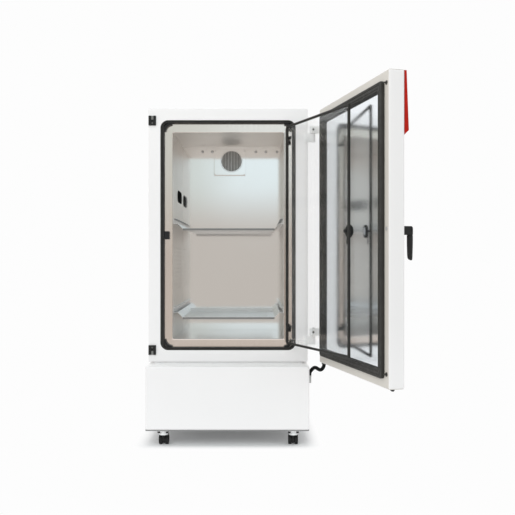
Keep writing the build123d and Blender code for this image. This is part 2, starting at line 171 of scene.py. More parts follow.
def brushed(name, color, rough, along, grain=0.3):
    """Metal with fine lines that run along axis number `along`."""
    m = Mat(name, color, rough, 1.0)
    stretch = [260.0 if i != along else 5.0 for i in range(3)]
    lines = m.noise(1.0, stretch, 4.0)
    m.vary_rough(lines, rough - 0.06, rough + 0.08)
    m.vary_color(m.noise(3.0), 0.97, 1.02)
    return m.bump(lines, 0.0003, grain)


def rubber(name, color, rough=0.6):
    m = Mat(name, color, rough, Specular_IOR_Level=0.3)
    m.vary_color(m.noise(14.0), 0.85, 1.15)
    m.vary_rough(m.noise(40.0), rough - 0.08, rough + 0.08)
    return m.bump(m.noise(700.0, detail=2.0), 0.0002, 0.25)


def plastic(name, color, rough=0.4, specular=0.4):
    m = Mat(name, color, rough, Specular_IOR_Level=specular)
    m.vary_color(m.noise(20.0), 0.93, 1.07)
    m.vary_rough(m.noise(60.0), rough - 0.05, rough + 0.07)
    return m.bump(m.noise(1500.0, detail=1.0), 0.0001, 0.2)


def foam(name, color):
    m = Mat(name, color, 0.9)
    m.vary_color(m.noise(60.0), 0.9, 1.05)
    return m.bump(m.noise(500.0), 0.0006, 0.6)


white = painted("white_powder_coat", (0.86, 0.845, 0.845))
# Whiter than the cabinet's paint so that the ledge on top of the base looks lit: painted light.
base_painted_light_white = painted("white_powder_coat_base_painted_light", (0.97, 0.96, 0.955))
# Whiter than the cabinet's paint so that the hinges look white in the shade they stand in: painted light.
bracket_painted_light_white = painted("bracket_painted_light_white", (0.90, 0.90, 0.90), 0.35)
steel_z = brushed("stainless_brushed_z", (0.92, 0.885, 0.845), 0.42, 2)
# Pure white and partly diffuse so that the chamber floor shows as bright as its reflection of the floor in
# front: painted light.
floor_painted_light_steel = brushed("stainless_chamber_floor_painted_bright", (1.0, 1.0, 1.0), 0.15, 0, 0.05)
floor_painted_light_steel.set(Metallic=0.85)
flange_steel = brushed("stainless_flange", (0.875, 0.795, 0.735), 0.16, 2, 0.1)
shelf_steel = brushed("stainless_shelf", (0.80, 0.79, 0.785), 0.32, 0, 0.15)
shelf_steel.set(Metallic=0.8)
# Dark steel for a thin strip on each shelf's front lip: a painted dark reflection of the lip's rounded top
# edge.
shelf_lip_painted_reflection = brushed("stainless_shelf_lip_dark_reflection", (0.30, 0.295, 0.29), 0.45, 0, 0.1)
mirror_steel = Mat("stainless_mirror", (0.90, 0.89, 0.875), 0.06, 1.0)
mirror_steel.vary_rough(mirror_steel.noise(5.0), 0.07, 0.10)
mirror_steel.vary_color(mirror_steel.noise(1.5), 0.985, 1.01)
panel_steel = Mat("stainless_door_panel", (0.89, 0.925, 0.955), 0.06, 1.0)
panel_steel.vary_rough(panel_steel.noise(5.0), 0.10, 0.14)
panel_steel.vary_color(panel_steel.noise(1.5), 0.985, 1.01)
cream = painted("door_border_cream", (0.62, 0.59, 0.54), 0.38)
black_rubber = rubber("black_frame_rubber", (0.027, 0.026, 0.024), 0.6)
slate_rubber = rubber("slate_door_gasket", (0.032, 0.031, 0.028), 0.6)
cable_rubber = rubber("cable_rubber", (0.010, 0.011, 0.011), 0.8)
cable_rubber.set(Specular_IOR_Level=0.04)
catch_grey = plastic("catch_slot_grey", (0.20, 0.20, 0.19), 0.6)
catch_screw = plastic("catch_screw_grey", (0.09, 0.09, 0.085), 0.6)
tread_rubber = rubber("castor_rubber", (0.012, 0.012, 0.012), 0.6)
black_plastic = plastic("black_plastic", (0.013, 0.013, 0.013), 0.45, 0.3)
matt_black = plastic("matt_black_cover", (0.010, 0.010, 0.010), 0.9, 0.05)
bolt_black = plastic("bolt_black_oxide", (0.010, 0.010, 0.010), 0.45, 0.3)
grey_plastic = plastic("gland_pale_grey", (0.42, 0.42, 0.41), 0.5)
red_plastic = plastic("red_housing", (0.44, 0.010, 0.003), 0.5, 0.15)
display_black = plastic("display_window", (0.008, 0.009, 0.011), 0.12)
pale_mark = plastic("display_marks", (0.45, 0.62, 0.60), 0.5)
zinc = brushed("zinc_plated_steel", (0.62, 0.62, 0.62), 0.35, 0, 0.1)
# Mid grey so that the chassis merges with the shadow under the base: painted shade.
chassis_painted_shade = painted("chassis_grey_painted_shade", (0.29, 0.29, 0.29), 0.5)
dark_steel = brushed("dark_steel", (0.10, 0.095, 0.09), 0.4, 0, 0.1)
# Bright plated steel drawn near white and barely metallic: a painted highlight for the chrome's reflection of
# the floor in the shade under the base.
castor_steel = brushed("castor_steel_painted_highlight", (0.98, 0.98, 0.98), 0.42, 2, 0.1)
castor_steel.set(Metallic=0.1)
grille_steel = brushed("fan_grille_steel", (0.62, 0.62, 0.61), 0.3, 2, 0.1)
# Grey for the disc behind the fan guard's slats: painted shade standing in for the dark of the opening.
fan_opening_painted_shade = plastic("fan_opening_grey_painted_shade", (0.21, 0.21, 0.205), 0.6)
fins = brushed("fin_aluminium", (0.80, 0.80, 0.81), 0.35, 2, 0.1)
black_steel = painted("black_enamel", (0.02, 0.02, 0.02), 0.35)
foam_mat = foam("insulating_foam", (0.60, 0.58, 0.54))

glass = Mat("clear_glass", (0.96, 0.985, 0.98), 0.0, IOR=1.45, Transmission_Weight=1.0, Alpha=0.08)
glass.vary_rough(glass.noise(3.0), 0.0, 0.012)


# --- mesh building ------------------------------------------------------------------------------------------
def rounded(a0, a1, b0, b1, r, seg):
    """Points round a rectangle with rounded corners."""
    r = max(min(r, (a1 - a0) / 2 - 0.01, (b1 - b0) / 2 - 0.01), 0.05)
    out = []
    for k, (a, b) in enumerate(((a1 - r, b1 - r), (a0 + r, b1 - r), (a0 + r, b0 + r), (a1 - r, b0 + r))):
        for i in range(seg + 1):
            t = math.radians(90 * k + 90 * i / seg)
            out.append((a + r * math.cos(t), b + r * math.sin(t)))
    return out


AXES = {"x": lambda a, b, c: (c, a, b), "y": lambda a, b, c: (a, c, b), "z": lambda a, b, c: (a, b, c)}
scratch = bpy.data.meshes.new("scratch")


class Shape:
    """A mesh drawn in mm, form by form, in the frame of the cabinet or of a door."""

    def __init__(self, place=CABINET):
        self.bm, self.new = bmesh.new(), bmesh.new()
        self.place = place
        self.index = 0

    def done(self, turn=None):
        """Turns the form just drawn, gives it the current material and joins it to the rest."""
        if turn:
            self.new.transform(turn)
        for f in self.new.faces:
            f.material_index = self.index
        self.new.to_mesh(scratch)
        self.bm.from_mesh(scratch)
        self.new.clear()
        return self

    def box(self, x0, x1, y0, y1, z0, z1, r=0.8, seg=2, turn=None):
        """A box with edges rounded to r."""
        made = bmesh.ops.create_cube(self.new, size=1)["verts"]
        size, mid = (x1 - x0, y1 - y0, z1 - z0), Vector((x0 + x1, y0 + y1, z0 + z1)) / 2
        for v in made:
            v.co = Vector(a * b for a, b in zip(v.co, size)) + mid
        edges = list({e for v in made for e in v.link_edges})
        bmesh.ops.bevel(self.new, geom=edges, offset=min(r, 0.45 * min(size)), segments=seg, profile=0.5,
                        affect="EDGES")
        return self.done(turn)

    def lathe(self, axis, centre, profile, n=40, scallop=None):
        """A turned form: profile is (along, radius) pairs; scallop is (count, depth, least radius)."""
        rings = []
        for along, radius in profile:
            ring = []
            for i in range(n):
                t = 2 * math.pi * i / n
                r = radius
                if scallop and radius > scallop[2]:
                    r -= scallop[1] * (0.5 + 0.5 * math.cos(scallop[0] * t)) ** 3
                p = AXES[axis](r * math.cos(t), r * math.sin(t), along)
                ring.append(self.new.verts.new(Vector(p) + Vector(centre)))
            rings.append(ring)
        for low, high in zip(rings, rings[1:]):
            for i in range(n):
                self.new.faces.new((low[i], low[(i + 1) % n], high[(i + 1) % n], high[i]))
        self.new.faces.new(rings[0])
        self.new.faces.new(rings[-1])
        return self.done()

    def prism(self, axis, points, c0, c1, r=0.8, seg=2, turn=None):
        """An outline pushed along an axis from c0 to c1, its sharp edges rounded to r."""
        ends = [[self.new.verts.new(AXES[axis](a, b, c)) for a, b in points] for c in (c0, c1)]
        n = len(points)
        for i in range(n):
            self.new.faces.new((ends[0][i], ends[0][(i + 1) % n], ends[1][(i + 1) % n], ends[1][i]))
        for e in ends:
            self.new.faces.new(e)
        if r:
            edges = [e for e in {e for v in ends[0] + ends[1] for e in v.link_edges}
                     if e.calc_face_angle(0) > math.radians(30)]
            bmesh.ops.bevel(self.new, geom=edges, offset=r, segments=seg, profile=0.5, affect="EDGES")
        return self.done(turn)

    def rings(self, axis, loops, closed=False, caps=(False, False), seg=6, turn=None):
        """A skin through rounded rectangles (a0, a1, b0, b1, radius, c) set along an axis."""
        rows = [[self.new.verts.new(AXES[axis](a, b, c)) for a, b in rounded(a0, a1, b0, b1, r, seg)]
                for a0, a1, b0, b1, r, c in loops]
        n = len(rows[0])
        for low, high in zip(rows, rows[1:] + rows[:1] if closed else rows[1:]):
            for i in range(n):
                self.new.faces.new((low[i], low[(i + 1) % n], high[(i + 1) % n], high[i]))
        for cap, row in zip(caps, (rows[0], rows[-1])):
            if cap:
                self.new.faces.new(row)
        return self.done(turn)

    def band(self, outer, inner, profile, seg=8):
        """A profile of (share of the way from outer to inner, y), swept between rounded rectangles."""
        loops = [tuple(o + (i - o) * share for o, i in zip(outer, inner)) + (y,) for share, y in profile]
        return self.rings("y", loops, closed=True, seg=seg)

    def screw(self, axis, centre, r, out):
        """A pan-head screw standing out along its axis, with a round recess in its head."""
        s = 1 if out > 0 else -1
        h = abs(out)
        self.lathe(axis, centre, [(0, r), (s * 0.45 * h, r), (s * 0.8 * h, 0.86 * r), (s * h, 0.55 * r),
                                  (s * h, 0.34 * r), (s * 0.55 * h, 0.28 * r)], 20)
        return self

    def hexagon(self, axis, centre, r, height):
        """A nut or a bolt's head, r from its middle to a corner."""
        pts = [(r * math.cos(math.radians(60 * i)), r * math.sin(math.radians(60 * i))) for i in range(6)]
        return self.prism(axis, pts, 0, height, 0.06 * r, 2, Matrix.Translation(centre))

    def piece(self, name, mats, body, *nodes, slot, sharp=32):
        """Makes the drawn forms one object, on its body, standing in for the CAD nodes named."""
        mats = mats if isinstance(mats, (list, tuple)) else [mats]
        bmesh.ops.recalc_face_normals(self.bm, faces=self.bm.faces)
        self.bm.transform(self.place @ Matrix.Scale(MM, 4))
        mesh = bpy.data.meshes.new(name)
        self.bm.to_mesh(mesh)
        self.bm.free()
        self.new.free()
        mesh.shade_smooth()
        mesh.set_sharp_from_angle(angle=math.radians(sharp))
        for m in mats:
            mesh.materials.append(m.material)
        ob = bpy.data.objects.new(name, mesh)
        bpy.context.collection.objects.link(ob)
        ob.modifiers.new("weighted", "WEIGHTED_NORMAL").keep_sharp = True
        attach(ob, body)
        if nodes:
            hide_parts(*nodes)
        return ob


def arc(y_face, r, sign=1, steps=5):
    """(inset, y) points that round an edge of radius r from a side wall on to a face at y_face."""
    angles = [math.radians(90 * i / steps) for i in range(steps + 1)]
    return [(r * (1 - math.cos(a)), y_face + sign * r * (1 - math.sin(a))) for a in angles]


def inset(rect, d, radius, y):
    """A loop for Shape.rings: the rectangle (x0, x1, z0, z1) drawn in by d on every side."""
    return (rect[0] + d, rect[1] - d, rect[2] + d, rect[3] - d, radius, y)


# --- cabinet ------------------------------------------------------------------------------------------------
HALF, CAB_Z = 462.5, (466.0, 1936.0)
REAR = 690.0                                        # y of the cabinet's and the base's back face
cab = (-HALF, HALF, *CAB_Z)

# outer sheet: sides, top and bottom
s = Shape()
s.rings("y", [inset(cab, 0, 9, 12), inset(cab, 0, 9, REAR - 3), inset(cab, 1, 8, REAR - 2),
              inset(cab, 2, 7, REAR - 2), inset(cab, 2, 7, 12)], closed=True)
s.piece("cabinet_skin", white, "cabinet", "cabinet_shell", slot="white_paint")

# front face round the opening
opening = (-393, 393, 533, 1869, 45)
s = Shape()
front = [inset(cab, 2, 7, 12)] + [inset(cab, i, 9 - i, y) for i, y in [(0, 12)] + arc(0, 4)]
front += [(*opening, 0), (*opening, 4), (*opening, 12)]
s.rings("y", front, closed=True, seg=10)
s.piece("cabinet_front_skin", white, "cabinet", "cabinet_front_frame", slot="white_paint")

# rear panel and its screws
s = Shape()
s.rings("y", [inset(cab, 2, 7, REAR - 2), inset(cab, 0, 9, REAR - 2), inset(cab, 0.4, 8.6, REAR - 0.6),
              inset(cab, 1.6, 7.5, REAR)], caps=(False, True))
rear_screws = [(x, z) for x in (-440, -220, 0, 220, 440) for z in (486, 1916)]
rear_screws += [(x, z) for x in (-440, 440) for z in (780, 1100, 1420, 1700)]
for x, z in rear_screws:
    s.screw("y", (x, REAR - 1.8, z), 5, 1.7)
s.piece("rear_skin", white, "cabinet", "rear_panel", slot="white_paint")

# --- black frame, flange and chamber ------------------------------------------------------------------------
frame_in = (-372.5, 372.5, 548.5, 1853.5, 22)
groove = [(0, 27.5), (0, 3), (0.03, 1.2), (0.10, 0.5), (0.42, 0.5), (0.50, 1.4), (0.55, 3.0), (0.62, 3.0),
          (0.67, 1.4), (0.74, 0.5), (0.90, 0.7), (0.97, 1.8), (1, 4), (1, 27.5)]
s = Shape()
s.band(opening, frame_in, groove, seg=10)
s.piece("chamber_frame_seal", black_rubber, "cabinet", "chamber_gasket", slot="black_frame_rubber")

# curved fillers in the frame's four corners
CORNER_OUT, CORNER_IN, CORNER_STEPS = 50, 36, 12
quarter = [math.radians(90 * i / CORNER_STEPS) for i in range(CORNER_STEPS + 1)]
s = Shape()
for sx in (-1, 1):
    for z0, sz in ((frame_in[2], 1), (frame_in[3], -1)):
        cx, cz = sx * (frame_in[1] - CORNER_OUT + 4), z0 + sz * (CORNER_OUT - 4)
        ring_points = [(cx + sx * CORNER_OUT * math.cos(a), cz - sz * CORNER_OUT * math.sin(a))
                       for a in quarter]
        ring_points += [(cx + sx * CORNER_IN * math.cos(a), cz - sz * CORNER_IN * math.sin(a))
                        for a in reversed(quarter)]
        s.prism("y", ring_points, 5, 26, 1.2)
s.piece("frame_seal_corners", black_plastic, "cabinet", slot="black_frame_rubber")

# flange sheet with its rolled lip round the chamber's mouth
hole = (-325, 325, 595, 1803)
flange = (-372.3, 372.3, 549.2, 1852.8, 22.5)
lip = [inset(hole, -5, 13, 26), inset(hole, -3, 11, 25.2), inset(hole, -1, 9, 25.2),
       inset(hole, 0.2, 8, 26.4), inset(hole, 0.3, 8, 34), inset(hole, -0.8, 8, 34)]
s = Shape()
s.rings("y", [(*flange, 27.6), (*flange, 26.2)] + lip + [inset(hole, -0.8, 9, 27.6)], closed=True, seg=8)
s.piece("flange_sheet", flange_steel, "cabinet", "chamber_flange", slot="stainless")

# floor tray
s = Shape()
s.rings("z", [(-324.5, 324.5, 29, 565.6, 6, 595.05), (-324.5, 324.5, 29, 565.6, 6, 595.6),
              (-321, 321, 32, 562, 5, 596.4)], caps=(False, True))
# The tray takes the white steel: painted light for its bright reflection.
s.piece("chamber_floor_tray", floor_painted_light_steel, "cabinet", slot="stainless")

# fan guard: a square plate with slats over a thin grey disc, painted shade where its round opening shows
BAFFLE = 566.0                                      # y of the chamber's back wall
FAN_Z, FAN_R = 1708.0, 70.0
plate = (-118, 94, 1611, 1787)
s = Shape()
s.rings("y", [inset(plate, 0, 8, BAFFLE), inset(plate, 0, 8, BAFFLE - 1.0),
              inset(plate, 0.6, 7.5, BAFFLE - 1.6), inset(plate, 6, 5, BAFFLE - 1.6),
              inset(plate, 8, 5, BAFFLE - 2.6)], caps=(False, True))
for x in (-108, 84):
    for z in (1621, 1777):
        s.screw("y", (x, BAFFLE - 1.6, z), 4.5, -2.2)
s.lathe("y", (0, BAFFLE - 2.6, FAN_Z),
        [(0, 72), (-2.2, 72), (-3.6, 70.5), (-3.6, 67), (-2.6, 66), (-0.2, 66)], 64)
# A thin grey disc on the closed plate: painted shade of the round opening.
s.index = 1
s.lathe("y", (0, BAFFLE - 2.8, FAN_Z), [(0, 65.9), (-0.3, 65.9)], 64)
s.index = 2
for n in range(-6, 7):
    reach = math.sqrt((FAN_R - 4) ** 2 - (10 * n) ** 2)
    s.box(10 * n - 1.9, 10 * n + 1.9, BAFFLE - 6.4, BAFFLE - 3.4, FAN_Z - reach, FAN_Z + reach, 0.6)
s.piece("fan_grille", [mirror_steel, fan_opening_painted_shade, grille_steel], "cabinet", "fan_guard", slot="stainless")

# studs along the top of the back wall
s = Shape()
for x in (-190, -127, 160, 226, 300):
    s.lathe("y", (x, BAFFLE, 1771), [(0, 9), (-1.5, 9), (-2.2, 8), (-2.2, 5.2), (-6.5, 5.2), (-8.4, 4.2),
                                     (-9.4, 2)], 24)
s.piece("wall_studs", zinc, "cabinet", "wall_fixings", slot="zinc_steel")

# black cover plate on the left wall
cover = (286.5, 508.5, 1418.5, 1491.5)
s = Shape()
s.rings("x", [inset(cover, 0, 36, -325), inset(cover, 0, 36, -322.6), inset(cover, 0.7, 35.4, -322),
              inset(cover, 4, 32, -322), inset(cover, 5, 31, -322.8), inset(cover, 8, 28, -322.8),
              inset(cover, 9, 27, -322.0)], caps=(False, True), seg=10)
for y in (312, 483):
    s.screw("x", (-322.2, y, 1455), 5, 1.2)
s.piece("wall_cover_plate", matt_black, "cabinet", "wall_cover", slot="black_plastic")

# strips in the rows of slots on both side walls
LOUVRE_Z, LOUVRE_STEP = 885, 24.4
s = Shape()
for k in (-1, 1):
    for n in range(11):
        z = LOUVRE_Z + LOUVRE_STEP * n
        a, b = sorted((k * 325.3, k * 326.9))
        s.box(a, b, 90.6, 499.4, z - 3.5, z + 3.5, 0.7)
s.piece("slot_louvres", steel_z, "cabinet", slot="stainless")

# --- shelves: bent sheet with a hemmed front lip and ribs pressed in the deck -------------------------------
SHELF_FRONT, SHELF_REAR = 88, 564.6
for name, top in (("shelf_lower", 718.0), ("shelf_upper", 1245.0)):
    knee, foot, edge, high = 303.0, 272.0, 321.5, top + 30
    half_line = [(edge, high), (knee, high), (knee - 3, high - 1.4), (foot + 3, top + 1.4), (foot, top),
                 (0, top)]
    upper = half_line + [(-x, z) for x, z in reversed(half_line[:-1])]
    s = Shape()
    lower = [(x, z - 1.9) for x, z in reversed(upper)]
    s.prism("y", upper + lower, SHELF_FRONT, SHELF_REAR, 0)
    s.prism("x", [(88, top - 0.6), (90.4, top - 0.6), (91.4, top - 2), (91.4, top - 4), (90, top - 4),
                  (90, top - 11.4), (96, top - 11.4), (96, top - 12.6), (89.4, top - 12.6), (88, top - 11.6)],
            -foot, foot, 0.3, 1)
    # A thin dark strip on the lip's front face: painted dark reflection.
    s.index = 1
    s.box(-foot, foot, 87.7, 88.3, top - 11.4, top - 1, 0.15, 1)
    s.index = 0
    s.box(-foot, foot, SHELF_REAR - 1.8, SHELF_REAR, top - 1.9, top + 22, 0.7)
    for k in range(5):
        y = 150 + 85 * k
        s.rings("z", [(-235, 235, y - 7, y + 7, 7, top - 0.1), (-234, 234, y - 6, y + 6, 6, top + 0.8),
                      (-232, 232, y - 4, y + 4, 4, top + 1.2)], caps=(False, True))
    s.piece(f"{name}_sheet", [shelf_steel, shelf_lip_painted_reflection], name, name, slot="stainless", sharp=20)

# --- catches on the cabinet ---------------------------------------------------------------------------------
CATCH_Z, PIN_X = (534.5, 1866.0), 936.0
CATCH_X = DOOR_PIVOT[0] - PIN_X
s = Shape()
for z, way in zip(CATCH_Z, (-1, 1)):
    plate = (-HALF + 1, -HALF + 44.5, z - 28, z + 28)
    slot = (CATCH_X - 6.5, CATCH_X + 6.5)
    s.rings("y", [inset(plate, 0, 5, 0), inset(plate, 0, 5, -0.8), inset(plate, 0, 5, -1.4)],
            caps=(True, True))
    for a, b in ((plate[0], slot[0]), (slot[1], plate[1])):
        s.rings("y", [(a, b, z - 28, z + 28, 3, -1), (a, b, z - 28, z + 28, 3, -6.6),
                      (a + 0.5, b - 0.5, z - 27.5, z + 27.5, 2.6, -7.6),
                      (a + 1.4, b - 1.4, z - 26.6, z + 26.6, 2, -8)], caps=(True, True))
    low, high = sorted((z - 27.6 * way, z - 6 * way))
    s.box(slot[0] - 2, slot[1] + 2, -7.9, -1, low, high, 1)
    s.index = 1
    low, high = sorted((z + 5 * way, z + 27.4 * way))
    s.box(slot[0] + 0.2, slot[1] - 0.2, -5.4, -1, low, high, 1)
    s.index = 2
    s.screw("y", (CATCH_X, -7.8, z - 15 * way), 5, -2.2)
    s.index = 0
s.piece("catch_plates", [black_plastic, catch_grey, catch_screw], "cabinet", "latch_catches",
        "latch_catch_screws", slot="black_plastic")

# catch for the glass door
KNOB_X, KNOB_Z = 645.0, 1201.0
s = Shape()
for x0, x1, y0, y1, z0, z1 in ((-370, -344, 1.5, 6.4, -23, 23), (-370, -344, 13.1, 26, -23, 23),
                               (-370, -363.2, 4, 15, -23, 23)):
    s.box(x0, x1, y0, y1, KNOB_Z + z0, KNOB_Z + z1, 1.6, 3)
for z in (-14, 14):
    s.screw("y", (-352, 1.7, KNOB_Z + z), 3.6, -1.2)
s.piece("glass_catch", black_plastic, "cabinet", "glass_door_catch", slot="black_plastic")

# --- hinges -------------------------------------------------------------------------------------------------
PX, PY = DOOR_PIVOT
OUTER_HINGE_Z, GLASS_HINGE_Z = (617.0, 1791.0), (660.0, 1752.0)
s, t = Shape(), Shape(OUTER)
for z in OUTER_HINGE_Z:
    s.box(441, 499, -5.9, -0.1, z - 50, z - 0.2, 2.4, 3)
    s.lathe("z", (PX, PY, z - 50), [(0, 9.6), (1.2, 11), (48.6, 11), (49.8, 9.8)], 36)
    s.lathe("z", (PX, PY, z - 2), [(0, 5), (42, 5), (43.6, 4)], 20)
    s.box(463, PX - 2, 0.3, 13.6, z - 49.8, z - 0.2, 1.5)
    for dz in (-38, -13):
        s.screw("y", (456, -5.9, z + dz), 5.6, -2.0)
    t.box(-11.6, 20.5, -21.6, 30.6, z + 0.5, z + 43.8, 3, 3)
    t.box(19, 31.8, 22.4, 84.6, z + 0.5, z + 43.8, 2.2, 3)
    t.index = 1
    t.screw("x", (20.4, -8, z + 22), 6, 2.2)
    t.lathe("z", (0, 0, z + 43.4), [(0, 9), (1.2, 9), (2.2, 7.6), (2.2, 1)], 28)
    t.index = 0
# Both hinge pieces take the whiter bracket paint, painted light against the shade.
s.piece("outer_hinge_plates", bracket_painted_light_white, "cabinet", "outer_hinge_brackets", slot="white_bracket")
t.piece("outer_hinge_knuckles", [bracket_painted_light_white, dark_steel], "outer_door", "outer_hinge_arms",
        slot="white_bracket")

# --- outer door ---------------------------------------------------------------------------------------------
DX0, DX1, DY0, DY1, DZ0, DZ1 = 32.0, 962.0, 25.0, 104.0, 465.7, 1925.7
door = (DX0, DX1, DZ0, DZ1)

# painted skin
edge = [(5, DY0 + 0.6), (5, DY0), (4.2, DY0 + 0.1), (3.5, DY0 + 0.6), (3.1, DY0 + 1.5), (0.7, DY0 + 10),
        (0, DY0 + 12.5)]
edge += arc(DY1, 11, sign=-1)
s = Shape(OUTER)
s.rings("y", [inset(door, i, max(11 - i, 1), y) for i, y in edge], caps=(False, True), seg=8)
s.piece("door_skin", white, "outer_door", "outer_door_skin", slot="white_paint")

# cream border of the inner face
SEAL, SEAL_W = (72.6, 913.6, 509.5, 1881.0), 42
seal_in = inset(SEAL, SEAL_W, 10, 0)[:5]
border = inset(door, 4.4, 3, 0)[:5]
s = Shape(OUTER)
s.band(border, seal_in, [(0, 27), (0, 25.4), (0.02, 24.8), (0.97, 24.8), (1, 25.2), (1, 27)])
s.piece("door_inner_border", cream, "outer_door", "outer_door_inner_frame", slot="cream_border")

# ribbed seal
rib = [(0, 25), (0, 13), (0.02, 10.2), (0.06, 8.8), (0.10, 8.4), (0.27, 8.4), (0.31, 9.0), (0.33, 10.6),
       (0.37, 10.9), (0.41, 10.6), (0.43, 9.0), (0.47, 8.4), (0.66, 8.4), (0.70, 9.0), (0.72, 10.6),
       (0.76, 10.9), (0.80, 10.6), (0.82, 9.0), (0.86, 8.5), (0.94, 8.8), (0.98, 10.2), (1, 13), (1, 25)]
s = Shape(OUTER)
s.band((*SEAL, 20), seal_in, rib)
s.piece("door_seal", slate_rubber, "outer_door", "outer_door_gasket", slot="slate_gasket_rubber", sharp=60)

# latch pins, lock and foot
s = Shape(OUTER)
for z in CATCH_Z:
    s.lathe("y", (PIN_X, DY0, z), [(0, 10), (-2.2, 10), (-3.2, 9), (-3.2, 4.6), (-10.5, 4.2), (-13.2, 3.4),
                                   (-14, 2)], 28)
s.piece("latch_pin_heads", dark_steel, "outer_door", "latch_pins", slot="zinc_steel")

LOCK_Z = 1200                                       # the lock's height on the door's free edge
s = Shape(OUTER)
s.lathe("y", (PIN_X, DY0, LOCK_Z), [(0, 9), (-1.2, 9), (-2, 8), (-2, 6), (-3.8, 5.6), (-4, 5)], 32)
s.box(PIN_X - 0.7, PIN_X + 0.7, DY0 - 4.1, DY0 - 3, LOCK_Z - 3.5, LOCK_Z + 3.5, 0.2, 1)
s.piece("door_lock_barrel", zinc, "outer_door", "door_lock", slot="zinc_steel")

s = Shape(OUTER)
s.rings("z", [(925, 950, 45, 60, 5, DZ0), (925, 950, 45, 60, 5, DZ0 - 3),
              (927, 948, 46.5, 58.5, 5, DZ0 - 7.5), (929.5, 945.5, 48, 57, 4, DZ0 - 9.4)], caps=(True, True))
s.piece("door_foot", black_plastic, "outer_door", "door_glide", slot="black_plastic")

# handle: a housing of two cheeks and a roof, and a grip that hangs from a pin between them
LX, LZ = 912.0, 1193.0
LY = DY1 + 50
side = [(DY1 + 6, LZ - 20), (DY1 + 56, LZ - 20), (DY1 + 56, LZ + 10),
        (DY1 + 54, LZ + 16), (DY1 + 49, LZ + 20), (DY1 + 6, LZ + 20)]
foot = (LX - 20, LX + 20, LZ - 30, LZ + 30)
s = Shape(OUTER)
s.rings("y", [inset(foot, 0, 6, DY1), inset(foot, 0, 6, DY1 + 5.5), inset(foot, 2, 5, DY1 + 8)],
        caps=(True, True))
for k in (-1, 1):
    a, b = sorted((LX + k * 11.5, LX + k * 17.5))
    s.prism("x", side, a, b, 1.4)
    s.lathe("x", (LX + k * 17.3, LY, LZ), [(-k * 4, 6), (k * 0.0, 6), (k * 0.2, 5)], 28)
s.box(LX - 14, LX + 14, DY1 + 6, DY1 + 54, LZ + 15.6, LZ + 20, 1.6)
for z in (-25, 25):
    s.screw("y", (LX, DY1 + 7.6, LZ + z), 3.4, 1.6)
s.piece("handle_housing", black_plastic, "outer_door", "handle_base", slot="black_plastic")

# grip: a tapered bar whose end is cut aslant
SLANT, SLANT_FROM, SLANT_RUN = 0.42, 104, 20
grip = [(-21, 13.4), (-21.5, 14.1), (-26, 14.2), (-40, 14.2), (-62, 14.0), (-84, 13.5), (-104, 12.9),
        (-118, 12.4), (-127, 11.8), (-132, 10.6), (-135, 8.6), (-136.4, 6), (-136.8, 2.5)]
s = Shape(OUTER)
s.box(LX - 11.1, LX + 11.1, LY - 9, LY + 7, LZ - 28, LZ + 9, 4, 4)
s.lathe("z", (LX, LY - 1.2, LZ), grip, 44)
for v in s.bm.verts:
    drop = LZ - v.co.z
    if drop > SLANT_FROM:
        v.co.z -= SLANT * (v.co.y - LY) * min(1, (drop - SLANT_FROM) / SLANT_RUN)
s.piece("handle_grip", black_plastic, "handle", "handle_lever", slot="black_plastic", sharp=50)

# control housing on the door's outer face: a red wedge with plain windows and keys
HX0, HX1, HZ0, HZ1 = 560.0, 958.0, 1629.0, 1923.0
s = Shape(OUTER)
s.prism("x", [(DY1 - 0.5, HZ0), (DY1 + 21, HZ0 + 21.5), (DY1 + 10, HZ1), (DY1 - 0.5, HZ1)], HX0, HX1, 2.4, 3)
s.piece("control_shell", red_plastic, "outer_door", "control_housing", slot="red_plastic")

TILT = math.atan2(11, HZ1 - HZ0 - 21)               # slope of the housing's front
FACE_Z = HZ0 + 150
FACE_Y = DY1 + 21 - 129 * math.tan(TILT)


def on_face(x, up):
    """A frame on the housing's sloping front: x along the door, y out of the face, z up it."""
    place = Matrix.Translation((x, FACE_Y - up * math.sin(TILT), FACE_Z + up * math.cos(TILT)))
    return place @ Matrix.Rotation(TILT, 4, "X")


s = Shape(OUTER)
for x, width in ((690, 180), (865, 110)):
    w = width / 2
    s.index = 0
    s.rings("y", [(-w, w, -55, 55, 8, 0.1), (-w, w, -55, 55, 8, 2.0), (-w + 1, w - 1, -54, 54, 7, 2.8),
                  (-w + 5, w - 5, -50, 50, 5, 2.8), (-w + 6, w - 6, -49, 49, 5, 1.9)], caps=(True, True),
            turn=on_face(x, 0))
    s.index = 1
    for k in range(4 if width > 150 else 2):
        z = 30 - 20 * k
        bar = (-w + 16, -w + 16 + (0.5 - 0.07 * k) * width, z - 3, z + 3, 2)
        s.rings("y", [(*bar, 1.85), (*bar, 2.1)], caps=(True, True), turn=on_face(x, 0))
s.index = 2
for k in range(5):
    s.rings("y", [(-11, 11, -6, 6, 4, -0.4), (-11, 11, -6, 6, 4, 1.6), (-10, 10, -5, 5, 3.4, 2.4)],
            caps=(True, True), turn=on_face(632 + 32 * k, -78))
for k in range(3):
    s.rings("y", [(-9, 9, -9, 9, 9, -0.4), (-9, 9, -9, 9, 9, 1.6), (-8, 8, -8, 8, 8, 2.4)],
            caps=(True, True), turn=on_face(836 + 29 * k, -78))
s.piece("control_face", [display_black, pale_mark, grey_plastic], "outer_door", "control_display",
        slot="display_black")

# --- glass door ---------------------------------------------------------------------------------------------
GX0, GX1, GY0, GY1, GZ0, GZ1 = 5.0, 679.0, -16.5, -3.5, 570.0, 1834.5

